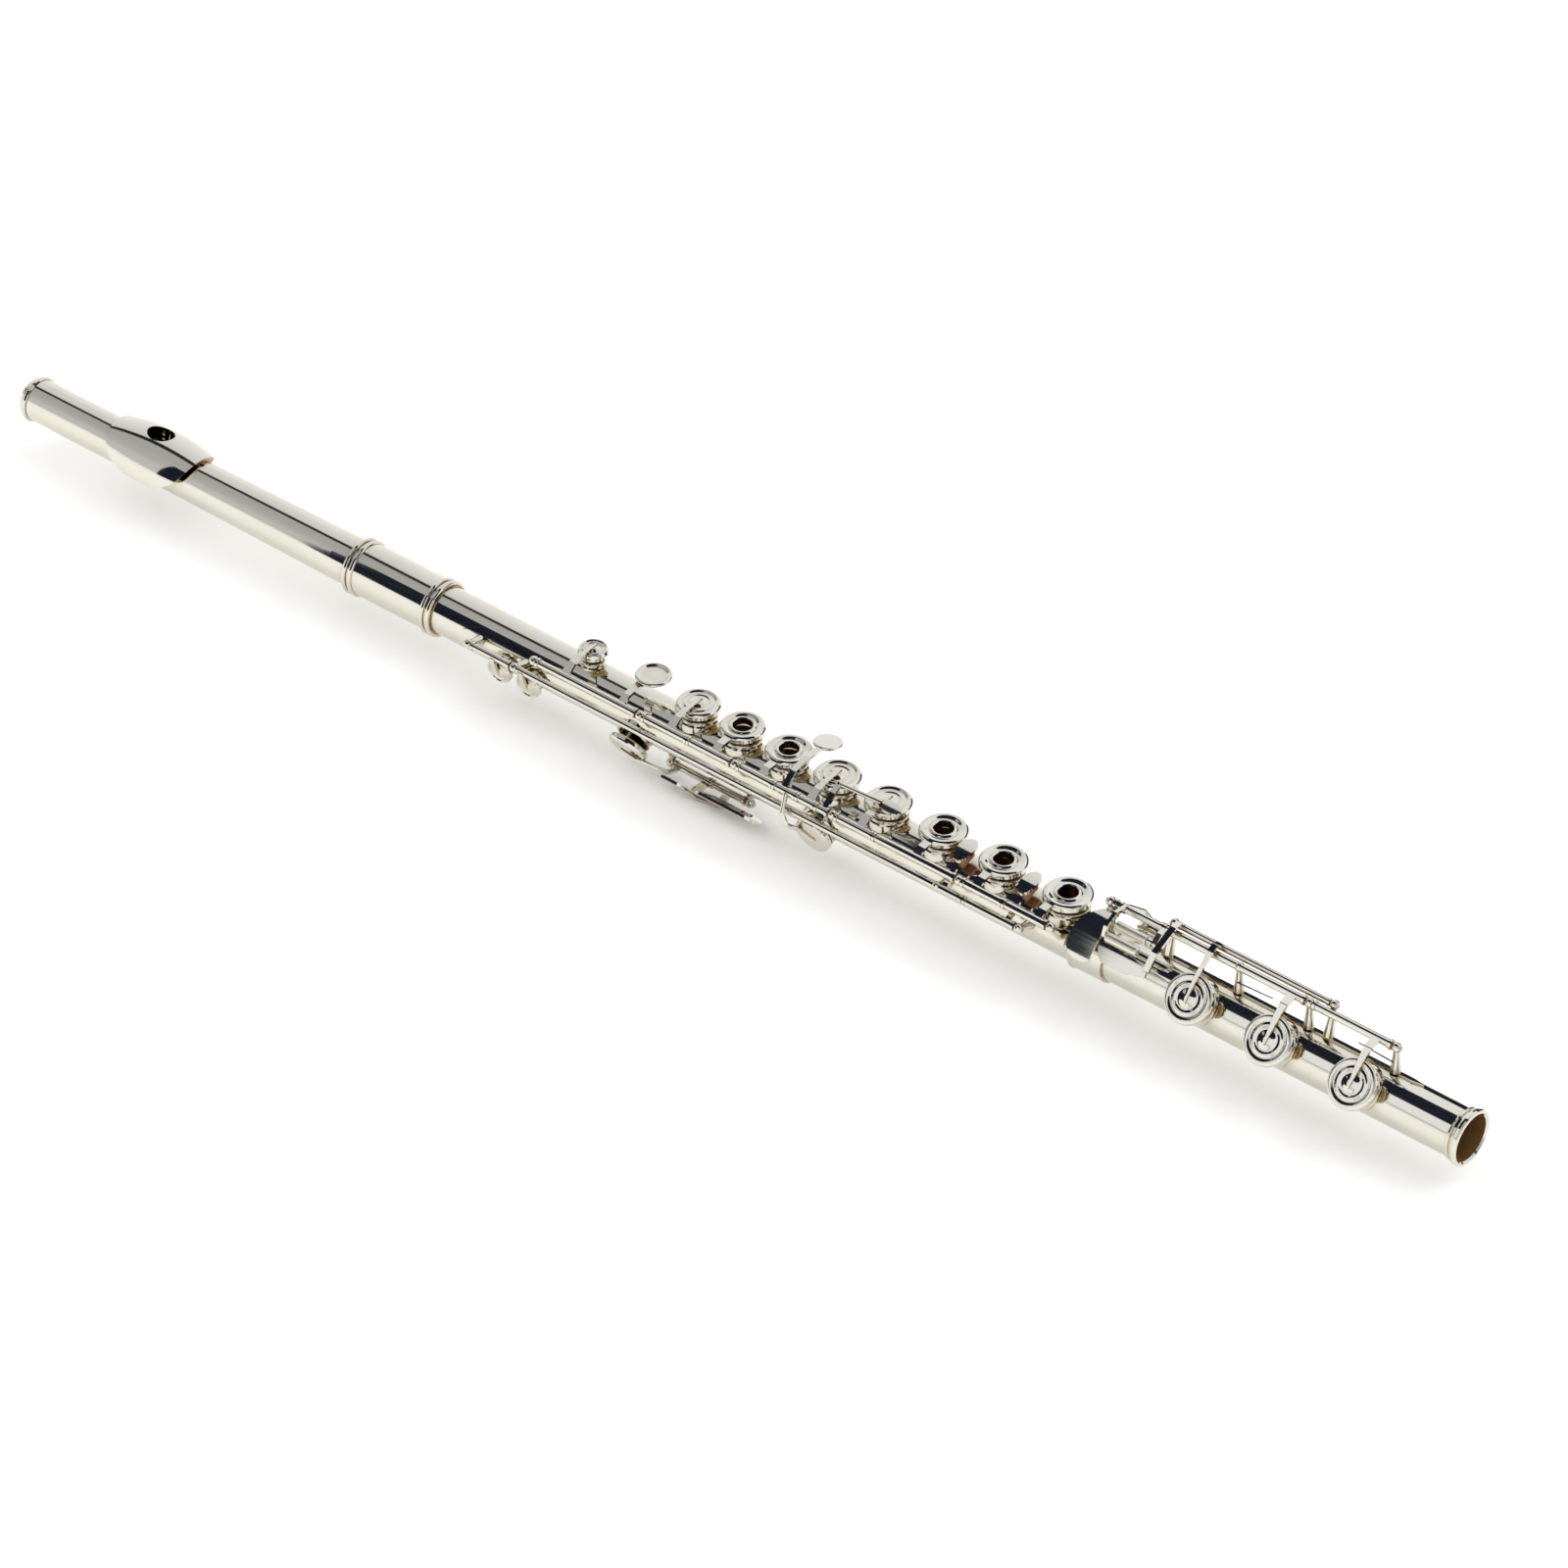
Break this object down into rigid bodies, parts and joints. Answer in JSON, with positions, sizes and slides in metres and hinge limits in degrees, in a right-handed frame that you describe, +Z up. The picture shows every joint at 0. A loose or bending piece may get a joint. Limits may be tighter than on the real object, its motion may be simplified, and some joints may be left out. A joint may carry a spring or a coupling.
{
  "type": "concert flute",
  "caption": "Silver-plated concert flute with open-hole keys in line, trill keys, thumb keys and a foot joint with rollers; every key turns on its hinge.",
  "frame": {"origin": "under the middle of the flute, on the plane that its lowest key touches", "axes": "+X along the tube towards the foot's open end; +Z up, the way the blowing hole and the top row of tone holes face; -Y the player's side, where the hinge tubes are"},
  "size_m": [0.7136, 0.0389, 0.0464],
  "materials": {
    "silver_plate": "polished silver plate",
    "lip_silver": "polished silver plate",
    "key_silver": "polished silver plate",
    "post_silver": "polished silver plate",
    "hinge_steel": "ground steel",
    "spring_steel": "blued needle steel",
    "pad_skin": "skin over felt, satin",
    "cork": "natural cork"
  },
  "bodies": {
    "body": {"body_tube": "silver_plate", "barrel": "silver_plate", "key_ribs": "post_silver", "body_posts": "post_silver", "left_hand_steel": "hinge_steel", "right_hand_steel": "hinge_steel", "thumb_steel": "hinge_steel", "body_springs": "spring_steel"},
    "head": {"head_tube": "silver_plate", "embouchure_riser": "lip_silver", "lip_plate": "lip_silver"},
    "crown": {"crown": "lip_silver"},
    "stopper": {"stopper_screw": "silver_plate", "stopper_cork": "cork", "stopper_nut": "silver_plate"},
    "foot": {"foot_tube": "silver_plate", "foot_rib": "post_silver", "foot_posts": "post_silver", "upper_foot_steel": "hinge_steel", "foot_springs": "spring_steel"},
    "c_sharp": {"c_sharp_key": "key_silver", "c_sharp_pad": "pad_skin"},
    "b_flat": {"b_flat_key": "key_silver", "b_flat_pad": "pad_skin"},
    "a": {"a_key": "key_silver", "a_pad": "pad_skin"},
    "g": {"g_key": "key_silver", "g_pad": "pad_skin"},
    "lower_g": {"lower_g_key": "key_silver", "lower_g_pad": "pad_skin"},
    "f_sharp": {"f_sharp_key": "key_silver", "f_sharp_pad": "pad_skin"},
    "f": {"f_key": "key_silver", "f_pad": "pad_skin"},
    "e": {"e_key": "key_silver", "e_pad": "pad_skin"},
    "d": {"d_key": "key_silver", "d_pad": "pad_skin"},
    "g_sharp": {"g_sharp_key": "key_silver", "g_sharp_pad": "pad_skin"},
    "d_trill": {"d_trill_key": "key_silver", "d_trill_pad": "pad_skin"},
    "d_sharp_trill": {"d_sharp_trill_key": "key_silver", "d_sharp_trill_pad": "pad_skin", "trill_steel": "hinge_steel"},
    "side_b_flat": {"side_b_flat_lever": "key_silver"},
    "thumb": {"thumb_key": "key_silver", "thumb_pad": "pad_skin"},
    "thumb_b_flat": {"thumb_b_flat_lever": "key_silver"},
    "foot_d_sharp": {"foot_d_sharp_key": "key_silver", "foot_d_sharp_pad": "pad_skin"},
    "low_c_sharp": {"low_c_sharp_key": "key_silver", "low_c_sharp_pad": "pad_skin"},
    "low_c": {"low_c_key": "key_silver", "low_c_pad": "pad_skin"},
    "low_b": {"low_b_key": "key_silver", "low_b_pad": "pad_skin", "foot_steel": "hinge_steel"},
    "low_c_roller": {"low_c_roller": "key_silver"},
    "low_b_roller": {"low_b_roller": "key_silver"}
  },
  "joints": [
    {"name": "tuning_slide", "type": "slide", "parent": "body", "child": "head", "axis": [-1, 0, 0], "range_m": [0, 0.012]},
    {"name": "crown_turn", "type": "hinge", "parent": "head", "child": "crown", "pos_m": [-0.35345, 0.00283, 0.01955], "axis": [1, 0, 0], "range_deg": [-360, 360]},
    {"name": "stopper_travel", "type": "slide", "parent": "head", "child": "stopper", "axis": [1, 0, 0], "range_m": [-0.0007, 0.0007]},
    {"name": "foot_twist", "type": "hinge", "parent": "body", "child": "foot", "pos_m": [0.19555, 0.00283, 0.01955], "axis": [1, 0, 0], "range_deg": [-15, 15]},
    {"name": "c_sharp_hinge", "type": "hinge", "parent": "body", "child": "c_sharp", "pos_m": [-0.04895, -0.01417, 0.03101], "axis": [1, 0, 0], "range_deg": [-6.5, 0], "stiffness_Nm_per_rad": 0.01, "springref_deg": 20.05},
    {"name": "b_flat_hinge", "type": "hinge", "parent": "body", "child": "b_flat", "pos_m": [-0.00945, -0.01417, 0.03101], "axis": [1, 0, 0], "range_deg": [-6.5, 0], "stiffness_Nm_per_rad": 0.01, "springref_deg": 20.05},
    {"name": "a_hinge", "type": "hinge", "parent": "body", "child": "a", "pos_m": [0.01225, -0.01417, 0.03101], "axis": [1, 0, 0], "range_deg": [-6.5, 0], "stiffness_Nm_per_rad": 0.01, "springref_deg": 20.05},
    {"name": "g_hinge", "type": "hinge", "parent": "body", "child": "g", "pos_m": [0.03495, -0.01417, 0.03101], "axis": [1, 0, 0], "range_deg": [-6.5, 0], "stiffness_Nm_per_rad": 0.01, "springref_deg": 20.05},
    {"name": "lower_g_hinge", "type": "hinge", "parent": "body", "child": "lower_g", "pos_m": [0.05945, -0.01417, 0.03101], "axis": [1, 0, 0], "range_deg": [-6.5, 0], "stiffness_Nm_per_rad": 0.01, "springref_deg": 20.05},
    {"name": "f_sharp_hinge", "type": "hinge", "parent": "body", "child": "f_sharp", "pos_m": [0.08295, -0.01417, 0.03101], "axis": [1, 0, 0], "range_deg": [-6.5, 0], "stiffness_Nm_per_rad": 0.01, "springref_deg": 20.05},
    {"name": "f_hinge", "type": "hinge", "parent": "body", "child": "f", "pos_m": [0.11155, -0.01417, 0.03101], "axis": [1, 0, 0], "range_deg": [-6.5, 0], "stiffness_Nm_per_rad": 0.01, "springref_deg": 20.05},
    {"name": "e_hinge", "type": "hinge", "parent": "body", "child": "e", "pos_m": [0.14395, -0.01417, 0.03101], "axis": [1, 0, 0], "range_deg": [-6.5, 0], "stiffness_Nm_per_rad": 0.01, "springref_deg": 20.05},
    {"name": "d_hinge", "type": "hinge", "parent": "body", "child": "d", "pos_m": [0.16375, -0.01417, 0.03101], "axis": [1, 0, 0], "range_deg": [-6.5, 0], "stiffness_Nm_per_rad": 0.01, "springref_deg": 20.05},
    {"name": "g_sharp_hinge", "type": "hinge", "parent": "body", "child": "g_sharp", "pos_m": [0.04925, -0.01417, 0.03101], "axis": [1, 0, 0], "range_deg": [-8, 0], "stiffness_Nm_per_rad": 0.01, "springref_deg": 20.05},
    {"name": "side_b_flat_hinge", "type": "hinge", "parent": "body", "child": "side_b_flat", "pos_m": [0.06725, -0.01417, 0.03101], "axis": [1, 0, 0], "range_deg": [-4, 0], "stiffness_Nm_per_rad": 0.01, "springref_deg": 20.05},
    {"name": "d_sharp_trill_hinge", "type": "hinge", "parent": "body", "child": "d_sharp_trill", "pos_m": [-0.09635, -0.01464, 0.0239], "axis": [1, 0, 0], "range_deg": [-6, 0], "stiffness_Nm_per_rad": 0.01, "springref_deg": 20.05},
    {"name": "d_trill_hinge", "type": "hinge", "parent": "body", "child": "d_trill", "pos_m": [0.02645, -0.01464, 0.0239], "axis": [1, 0, 0], "range_deg": [-6, 0], "stiffness_Nm_per_rad": 0.01, "springref_deg": 20.05},
    {"name": "thumb_hinge", "type": "hinge", "parent": "body", "child": "thumb", "pos_m": [-0.00635, 0.00126, 0.00463], "axis": [1, 0, 0], "range_deg": [-8, 0], "stiffness_Nm_per_rad": 0.01, "springref_deg": 20.05},
    {"name": "thumb_b_flat_hinge", "type": "hinge", "parent": "body", "child": "thumb_b_flat", "pos_m": [0.01155, 0.00126, 0.00463], "axis": [1, 0, 0], "range_deg": [-8, 0], "stiffness_Nm_per_rad": 0.01, "springref_deg": 20.05},
    {"name": "foot_d_sharp_hinge", "type": "hinge", "parent": "foot", "child": "foot_d_sharp", "pos_m": [0.19365, 0.00283, 0.04155], "axis": [1, 0, 0], "range_deg": [0, 8], "stiffness_Nm_per_rad": 0.01, "springref_deg": -20.05},
    {"name": "low_c_sharp_hinge", "type": "hinge", "parent": "foot", "child": "low_c_sharp", "pos_m": [0.25305, 0.00617, 0.04332], "axis": [1, 0, 0], "range_deg": [0, 6.5], "stiffness_Nm_per_rad": 0.01, "springref_deg": -20.05},
    {"name": "low_c_hinge", "type": "hinge", "parent": "foot", "child": "low_c", "pos_m": [0.24685, 0.00283, 0.04155], "axis": [1, 0, 0], "range_deg": [0, 6.5], "stiffness_Nm_per_rad": 0.01, "springref_deg": -20.05},
    {"name": "low_b_hinge", "type": "hinge", "parent": "foot", "child": "low_b", "pos_m": [0.30055, 0.00283, 0.04155], "axis": [1, 0, 0], "range_deg": [0, 6.5], "stiffness_Nm_per_rad": 0.01, "springref_deg": -20.05},
    {"name": "low_c_roller_spin", "type": "hinge", "parent": "low_c", "child": "low_c_roller", "pos_m": [0.20535, -0.00452, 0.03847], "axis": [1, 0, 0], "continuous": true},
    {"name": "low_b_roller_spin", "type": "hinge", "parent": "low_b", "child": "low_b_roller", "pos_m": [0.20535, -0.01009, 0.03605], "axis": [1, 0, 0], "continuous": true}
  ],
  "couplings": [
    {"joint": "crown_turn", "follows": "stopper_travel", "rad_per_m": 8976},
    {"joint": "b_flat_hinge", "follows": "a_hinge", "ratio": 1},
    {"joint": "lower_g_hinge", "follows": "g_hinge", "ratio": 1},
    {"joint": "f_sharp_hinge", "follows": "f_hinge", "ratio": 1},
    {"joint": "thumb_b_flat_hinge", "follows": "thumb_hinge", "ratio": 1}
  ]
}
